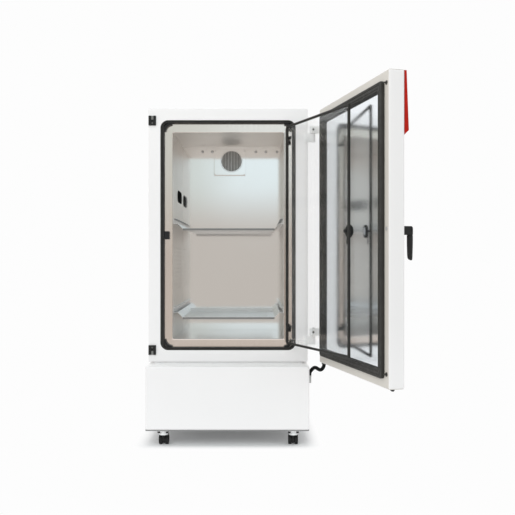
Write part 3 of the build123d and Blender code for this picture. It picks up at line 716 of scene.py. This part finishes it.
# pane
s = Shape(GLASS)
sheet = (GX0 + 4.2, GX1 - 4.2, GZ0 + 4.2, GZ1 - 4.2)
s.rings("y", [inset(sheet, 0.6, 4, GY0 + 4), inset(sheet, 0, 4, GY0 + 4.6), inset(sheet, 0, 4, GY0 + 8.4),
              inset(sheet, 0.6, 4, GY0 + 9)], caps=(True, True), seg=6)
s.piece("glass_sheet", glass, "glass_door", "glass_pane", slot="clear_glass")

# rubber channel round the pane
rim = (GX0, GX1, GZ0, GZ1)
s = Shape(GLASS)
s.rings("y", [inset(rim, i, r, y) for i, r, y in (
    (12, 4, GY0 + 3.9), (12, 4, GY0 + 1.4), (11, 4, GY0 + 0.3), (8.5, 4, GY0), (4, 5, GY0), (1, 6, GY0 + 0.8),
    (0, 6, GY0 + 3), (0, 6, GY1 - 3), (1, 6, GY1 - 0.8), (4, 5, GY1), (8.5, 4, GY1), (11, 4, GY1 - 0.3),
    (12, 4, GY1 - 1.4), (12, 4, GY1 - 3.9))], closed=True, seg=6)
s.piece("glass_edge_channel", black_rubber, "glass_door", "glass_edge_seal", slot="black_plastic", sharp=50)

# hinges: posts on the cabinet and straps on the pane
gx, gy = GLASS_PIVOT
s, t = Shape(), Shape(GLASS)
for z in GLASS_HINGE_Z:
    s.lathe("z", (gx, gy, z - 20.4), [(0, 5), (0.8, 6), (19.2, 6), (19.9, 5.2)], 28)
    s.box(gx + 3, gx + 18, gy - 1.9, gy + 1.9, z - 20.4, z - 0.6, 0.8)
    s.box(gx + 14, gx + 18, gy - 1.9, 25.8, z - 20.4, z - 0.6, 0.8)
    s.lathe("z", (gx, gy, z - 1), [(0, 2.4), (19.6, 2.4), (20, 2)], 16)
    t.lathe("z", (0, 0, z + 0.1), [(0, 5), (0.8, 6), (19, 6), (19.8, 5.2)], 28)
    t.box(2, 46, GY1 + 0.1, GY1 + 3, z + 0.2, z + 19.8, 1)
    for x in (18, 36):
        t.screw("y", (x, GY1 + 2.8, z + 10), 3.6, 1.4)
s.piece("glass_hinge_posts", black_plastic, "cabinet", "glass_hinge_brackets", slot="black_plastic")
t.piece("glass_hinge_straps", black_plastic, "glass_door", "glass_hinge_leaves", slot="black_plastic")

# knob: a scalloped disc outside and a tongue behind the pane
kc = (KNOB_X, GY1 + 6, KNOB_Z)
s = Shape(GLASS)
s.lathe("y", kc, [(0, 27), (0.8, 31), (2.4, 32.6), (4, 33), (10, 33), (12.4, 32), (13.6, 29.6), (14, 26),
                  (13.4, 21)], 120, scallop=(15, 2.6, 28))
s.index = 1
s.lathe("y", kc, [(11, 20.8), (13.2, 20.8), (14.0, 20), (14.2, 16), (14.2, 1)], 48)
s.index = 0
s.lathe("y", (KNOB_X, GY1 + 0.2, KNOB_Z), [(0, 9), (5, 9), (6.4, 12)], 32)
s.lathe("y", (KNOB_X, GY0 - 3.2, KNOB_Z), [(0, 4), (1, 9), (3.0, 9.6), (3.2, 5.4), (20, 5.4)], 32)
s.box(KNOB_X - 7, KNOB_X + 7, GY1 + 0.6, GY1 + 3.4, KNOB_Z - 66, KNOB_Z + 7, 1.2)
s.piece("glass_knob_grip", [black_plastic, zinc], "glass_knob", "glass_knob", slot="black_plastic", sharp=40)

# --- machine compartment ------------------------------------------------------------------------------------
BH, BF, BZ0, BZ1 = 465.0, -110.0, 94.0, 455.0
base = (-BH, BH, BZ0, BZ1)

# casing, with a louvred opening in its back
vent = (-285, 285, 160, 380, 4)
SLAT_STEP, SLAT_Y, SLAT_TURN = 19.6, REAR - 5, 24
s = Shape()
s.rings("y", [inset(base, 0, 10, BF + 14), inset(base, 0, 10, REAR - 3), inset(base, 0.6, 9.4, REAR - 0.8),
              inset(base, 2, 8, REAR), (*vent, REAR), (*vent, REAR - 4), (*vent, REAR - 10),
              inset(base, 4, 6, REAR - 10), inset(base, 4, 6, BF + 14)], closed=True, seg=6)
for n in range(-14, 15):
    middle = Vector((SLAT_STEP * n, SLAT_Y, 0))
    turned = Matrix.Rotation(math.radians(SLAT_TURN), 4, "Z")
    s.box(middle.x - 6.5, middle.x + 6.5, SLAT_Y - 2, SLAT_Y + 2, 158, 382, 1.2, 2,
          Matrix.Translation(middle) @ turned @ Matrix.Translation(-middle))
for x in (-440, -300, 300, 440):
    for z in (120, 430):
        s.screw("y", (x, REAR - 0.3, z), 5, 1.6)
for k in (-1, 1):
    for y in (-60, 200, 460, 660):
        s.screw("x", (k * (BH - 0.2), y, 112), 4.5, k * 0.2)
# The casing's whiter paint is painted light for the ledge on its top.
s.piece("base_casing_skin", base_painted_light_white, "cabinet", "base_casing", slot="white_paint")

# front panel: a pressed pan with rounded edges
s = Shape()
s.rings("y", [inset(base, i, max(10 - i, 0.5), y) for i, y in [(0, BF + 13.6)] + arc(BF, 10)],
        caps=(False, True), seg=6)
s.piece("base_front_skin", white, "cabinet", "base_front_panel", slot="white_paint")

# power inlet with three pins
inlet = (380, 410, 150, 178)
s = Shape()
s.rings("y", [inset(inlet, 0, 3, REAR), inset(inlet, 0, 3, REAR + 4.6), inset(inlet, 1, 3, REAR + 5.8),
              inset(inlet, 4, 2, REAR + 5.8), inset(inlet, 4.4, 2, REAR + 1)], caps=(False, True))
for x, z in ((389, 164), (395, 168), (401, 164)):
    s.box(x - 0.9, x + 0.9, REAR + 0.5, REAR + 5, z, z + 6, 0.3)
s.piece("power_inlet_body", black_plastic, "cabinet", "power_inlet", slot="black_plastic")

# glands at the two ends of the door's cable
GLY = 40.0
CABLE_X, CABLE_Y = 64, 42                           # where it leaves the door's foot, in the door's frame
s = Shape()
s.rings("z", [(465, 484.6, GLY - 13, GLY + 13, 5, 338.4), (465, 485.6, GLY - 14, GLY + 14, 6, 342),
              (465, 485.6, GLY - 14, GLY + 14, 6, 376), (466, 484.6, GLY - 12.6, GLY + 12.6, 8, 382)],
        caps=(True, True))
s.piece("base_gland_body", grey_plastic, "cabinet", "base_cable_gland", slot="black_plastic")

s = Shape(OUTER)
s.lathe("z", (CABLE_X, CABLE_Y, DZ0), [(0.2, 14.5), (-3, 14.5), (-4.5, 13.8), (-7.6, 12.4), (-7.9, 11)], 36)
s.piece("door_gland_body", black_plastic, "outer_door", "door_cable_gland", slot="black_plastic")

# --- castors ------------------------------------------------------------------------------------------------
CASTORS = {"fl": (-366.0, -62.0), "fr": (375.0, -62.0), "rl": (-366.0, 600.0), "rr": (375.0, 600.0)}
PLATE_Z, WHEEL = 89.0, 28.0                         # top of the plates, and the wheels' radius
TRAIL, WHEEL_X = 20, 18                             # from the stem back to the axle, and out to each wheel

# fixed plates and their nuts
s, t = Shape(), Shape()
for x, y in CASTORS.values():
    plate = (x - 31, x + 31, y - 36, y + 36)
    s.rings("z", [inset(plate, 0, 6, PLATE_Z), inset(plate, 0, 6, PLATE_Z - 3),
                  inset(plate, 1, 5, PLATE_Z - 4)], caps=(True, True))
    for dx in (-23.5, 23.5):
        for dy in (-27, 27):
            t.lathe("z", (x + dx, y + dy, PLATE_Z - 4), [(0, 8), (-1.4, 8), (-1.6, 7)], 24)
            t.hexagon("z", (x + dx, y + dy, PLATE_Z - 14.4), 7.8, 9.4)
            t.lathe("z", (x + dx, y + dy, PLATE_Z - 14.2), [(0, 4.6), (-1.4, 4.6), (-1.7, 4.1)], 16)
# The plates take the castor steel's painted highlight.
s.piece("castor_top_plates", castor_steel, "cabinet", "castor_plates", slot="castor_steel")
t.piece("castor_plate_nuts", bolt_black, "cabinet", "castor_bolts", slot="castor_bolt_black")

# forks that swivel, each with a twin wheel
bell = [(0, 14.6), (-2, 15.4), (-6, 15.8), (-10, 17.2), (-14, 20), (-17.5, 23.6), (-20, 26), (-21.6, 27.2),
        (-23.6, 27.4), (-24.2, 26.4), (-24.2, 12)]
tyre = [(-10, 8), (-10, 18), (-9.2, 20.4), (-9.9, 22.6), (-9.4, 25.8), (-7.4, WHEEL), (-1.2, WHEEL),
        (-0.8, 27.4), (0.8, 27.4), (1.2, WHEEL), (7.4, WHEEL), (9.4, 25.8), (9.9, 22.6), (9.2, 20.4),
        (9.2, 18), (7, 15), (7, 9), (10, 8)]
for tag, (x, y) in CASTORS.items():
    s = Shape()
    s.lathe("z", (x, y, PLATE_Z - 4.5), bell, 48)
    s.lathe("z", (x, y, PLATE_Z), [(-0.2, 7.8), (-9, 7.8)], 24)
    s.index = 1
    hood = [(x - 20, x + 20, y - 8, y + 34, 14, 60.4), (x - 27, x + 27, y - 10, y + 42, 16, 59.6),
            (x - 28.4, x + 28.4, y - 11, y + 45, 17, 58.2), (x - 28.4, x + 28.4, y - 11, y + 45, 17, 57)]
    s.rings("z", hood, caps=(True, True), seg=8)
    s.box(x - 6.6, x + 6.6, y - 8, y + 42, 40, 58, 3, 3)
    s.lathe("x", (x, y + TRAIL, WHEEL), [(-6.9, 20), (-6.6, 22.6), (6.6, 22.6), (6.9, 20)], 48)
    s.lathe("x", (x, y + TRAIL, WHEEL), [(-28, 4.4), (-27.6, 4.9), (27.6, 4.9), (28, 4.4)], 20)
    # The hoods take the castor steel's painted highlight.
    s.piece(f"castor_hood_{tag}", [castor_steel, black_plastic], f"castor_{tag}", f"castor_fork_{tag}",
            slot="castor_steel", sharp=40)
    s = Shape()
    for k in (-1, 1):
        s.lathe("x", (x + k * WHEEL_X, y + TRAIL, WHEEL), [(k * a, r) for a, r in tyre], 56)
    s.piece(f"castor_tyres_{tag}", tread_rubber, f"wheels_{tag}", f"castor_wheels_{tag}",
            slot="castor_rubber", sharp=40)

# --- CAD nodes that stay as they are ------------------------------------------------------------------------
for node, m in {
    "cabinet_insulation": foam_mat, "outer_door_insulation": foam_mat, "chamber_liner": steel_z,
    "back_baffle": mirror_steel, "outer_door_inner_panel": panel_steel, "shelf_runners": shelf_steel,
    "fan_impeller": black_plastic, "fan_motor": black_steel, "evaporator": fins, "condenser": fins,
    # the chassis takes the grey painted shade that merges with the shadow under the base
    "compressor": black_steel, "base_chassis": chassis_painted_shade, "joining_frame": white,
}.items():
    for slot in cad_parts[node].material_slots:
        slot.material = m.material

# --- door cable: a ribbed hose from the door's foot round to the base's side --------------------------------
top = outer_door.at(CABLE_X, CABLE_Y, 462.7)
route = [top, Vector((top.x, top.y, 444 * MM)), at(532, -56, 422), at(500, -52, 446), at(479, -30, 420),
         at(476.5, 40, 398), at(476.5, 40, 370)]        # the solid cable's own points
line = bpy.data.curves.new("door_cable_line", "CURVE")
line.dimensions = "3D"
spline = line.splines.new("NURBS")
spline.points.add(len(route) - 1)
for p, co in zip(spline.points, route):
    p.co = (*co, 1)
spline.order_u = 3
spline.use_endpoint_u = True
spline.resolution_u = 40
guide = bpy.data.objects.new("door_cable_guide", line)
bpy.context.collection.objects.link(guide)
bpy.context.view_layer.update()
drawn = bpy.data.meshes.new_from_object(guide)
path = [v.co.copy() for v in drawn.vertices]
bpy.data.objects.remove(guide)
bpy.data.meshes.remove(drawn)

CABLE_R, RIB, RIB_DEPTH, SIDES = 10.5 * MM, 3.0 * MM, 0.7 * MM, 20
hose = bmesh.new()
across = Vector((1, 0, 0))
rows, run = [], 0.0
for i, p in enumerate(path):
    ahead = (path[min(i + 1, len(path) - 1)] - path[max(i - 1, 0)]).normalized()
    across = (across - ahead * across.dot(ahead)).normalized()
    other = ahead.cross(across)
    if i:
        run += (p - path[i - 1]).length
    r = CABLE_R - RIB_DEPTH * (0.5 - 0.5 * math.cos(2 * math.pi * run / RIB))
    rows.append([hose.verts.new(p + (across * math.cos(a) + other * math.sin(a)) * r)
                 for a in [2 * math.pi * k / SIDES for k in range(SIDES)]])
for low, high in zip(rows, rows[1:]):
    for k in range(SIDES):
        hose.faces.new((low[k], low[(k + 1) % SIDES], high[(k + 1) % SIDES], high[k]))
hose.faces.new(rows[0])
hose.faces.new(rows[-1])
bmesh.ops.recalc_face_normals(hose, faces=hose.faces)
hose_mesh = bpy.data.meshes.new("door_cable_hose")
hose.to_mesh(hose_mesh)
hose_mesh.shade_smooth()
hose_mesh.materials.append(cable_rubber.material)
cable = bpy.data.objects.new("door_cable_hose", hose_mesh)
bpy.context.collection.objects.link(cable)
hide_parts("door_cable")
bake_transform(cable)

# --- stage --------------------------------------------------------------------------------------------------
FLOOR_HALF = 30                                     # half the floor's side, in metres
WHITE = 0.982                                       # the plain pale background
PALE_FLOOR = (0.93, 0.93, 0.93, 1)                  # the floor's own paint, where shadows show
SHADE_HALF_X, SHADE_HALF_Y, SHADE_FADE = 0.43, 0.355, 0.11
SHADE_LEAST = 0.10                                  # least share of plain background within the shadow
ROOM_NEAR, ROOM_FAR = 1.7, 3.2                      # where the floor in front turns into the dim room
ROOM = (0.57, 0.535, 0.50, 1)                       # the dim room that the steel mirrors low down
DAYLIGHT, SHADE = (0.85, 0.96, 1.0, 1), (0.66, 0.72, 0.70, 1)
floor_mesh = bpy.data.meshes.new("floor")
floor_mesh.from_pydata([(-FLOOR_HALF, -FLOOR_HALF, 0), (FLOOR_HALF, -FLOOR_HALF, 0),
                        (FLOOR_HALF, FLOOR_HALF, 0), (-FLOOR_HALF, FLOOR_HALF, 0)], [], [(0, 1, 2, 3)])
floor = bpy.data.objects.new("floor", floor_mesh)
bpy.context.collection.objects.link(floor)
floor_mat = bpy.data.materials.new("floor_pale")
floor_mat.use_nodes = True
ft = floor_mat.node_tree
ft.nodes.clear()


def node(tree, kind, inputs=(), **values):
    """A new node; each input is a socket to link, a value to set, or None to leave."""
    n = tree.nodes.new(kind)
    for key, value in values.items():
        setattr(n, key, value)
    for i, value in enumerate(inputs):
        if value is None:
            continue
        if isinstance(value, bpy.types.NodeSocket):
            tree.links.new(value, n.inputs[i])
        else:
            n.inputs[i].default_value = value
    return n


def ramp(tree, value, a, b):
    """Goes smoothly from 0 to 1 while the value goes from a to b."""
    smooth = node(tree, "ShaderNodeMapRange", (value, a, b, 0.0, 1.0), interpolation_type="SMOOTHSTEP")
    return smooth.outputs[0]


def math_node(tree, operation, *inputs):
    return node(tree, "ShaderNodeMath", inputs, operation=operation).outputs[0]


# floor: plain background away from the base, paint that takes shadow close to it
place = node(ft, "ShaderNodeTexCoord").outputs["Object"]
axes = node(ft, "ShaderNodeSeparateXYZ", (place,))
mid = at(0, 290, 0)
beyond = []
for i, half, centre in ((0, SHADE_HALF_X, mid.x), (1, SHADE_HALF_Y, mid.y)):
    away = math_node(ft, "ABSOLUTE", math_node(ft, "SUBTRACT", axes.outputs[i], centre))
    beyond.append(math_node(ft, "MAXIMUM", math_node(ft, "SUBTRACT", away, half), 0.0))
square = [math_node(ft, "MULTIPLY", b, b) for b in beyond]
distance = math_node(ft, "SQRT", math_node(ft, "ADD", *square))
clear = math_node(ft, "MAXIMUM", ramp(ft, distance, 0.0, SHADE_FADE), SHADE_LEAST)
paint = node(ft, "ShaderNodeBsdfDiffuse", (PALE_FLOOR,))
glow = node(ft, "ShaderNodeEmission", ((WHITE, WHITE, WHITE, 1), 1.0))
near = node(ft, "ShaderNodeMixShader", (clear, paint.outputs[0], glow.outputs[0]))
room = node(ft, "ShaderNodeEmission", (ROOM, 1.0))
seen = node(ft, "ShaderNodeLightPath").outputs["Is Camera Ray"]
forward = math_node(ft, "MULTIPLY", axes.outputs[1], -1.0)
far = math_node(ft, "MULTIPLY", ramp(ft, forward, ROOM_NEAR, ROOM_FAR),
                math_node(ft, "SUBTRACT", 1.0, seen))
ground = node(ft, "ShaderNodeMixShader", (far, near.outputs[0], room.outputs[0]))
out = node(ft, "ShaderNodeOutputMaterial")
ft.links.new(ground.outputs[0], out.inputs["Surface"])
floor_mesh.materials.append(floor_mat)

# world: plain background all round, but steel that faces forward mirrors a dim room under daylight
world = bpy.data.worlds.new("studio")
bpy.context.scene.world = world
world.use_nodes = True
wt = world.node_tree
look = node(wt, "ShaderNodeSeparateXYZ", (node(wt, "ShaderNodeTexCoord").outputs["Generated"],))
toward = ramp(wt, math_node(wt, "MULTIPLY", look.outputs[1], -1.0), 0.25, 0.75)
height = ramp(wt, look.outputs[2], 0.035, 0.115)
front = node(wt, "ShaderNodeMix", (), data_type="RGBA")
wt.links.new(height, front.inputs[0])
front.inputs[6].default_value = ROOM
side = node(wt, "ShaderNodeMix", (), data_type="RGBA")
wt.links.new(ramp(wt, look.outputs[0], -0.10, -0.02), side.inputs[0])
side.inputs[6].default_value, side.inputs[7].default_value = SHADE, DAYLIGHT
wt.links.new(side.outputs[2], front.inputs[7])
sky = node(wt, "ShaderNodeMix", (), data_type="RGBA")
camera_ray = node(wt, "ShaderNodeLightPath").outputs["Is Camera Ray"]
wt.links.new(math_node(wt, "MULTIPLY", toward, math_node(wt, "SUBTRACT", 1.0, camera_ray)), sky.inputs[0])
sky.inputs[6].default_value = (WHITE, WHITE, WHITE, 1)
wt.links.new(front.outputs[2], sky.inputs[7])
wt.links.new(sky.outputs[2], wt.nodes["Background"].inputs["Color"])
wt.nodes["Background"].inputs["Strength"].default_value = 1.0


def area(name, location, target, size, power):
    """A rectangular lamp that mirrors do not show."""
    light = bpy.data.lights.new(name, "AREA")
    light.shape = "RECTANGLE"
    light.size, light.size_y = size
    light.energy = power
    o = bpy.data.objects.new(name, light)
    bpy.context.collection.objects.link(o)
    o.location = location
    o.rotation_euler = (Vector(target) - Vector(location)).to_track_quat("-Z", "Y").to_euler()
    o.visible_glossy = False


area("key", at(-1500, -4500, 3600), at(0, 0, 900), (3, 3), 84)
area("top", at(0, -900, 3300), at(0, -60, 455), (1.4, 1.0), 3)
bpy.context.scene.view_settings.view_transform = "Standard"
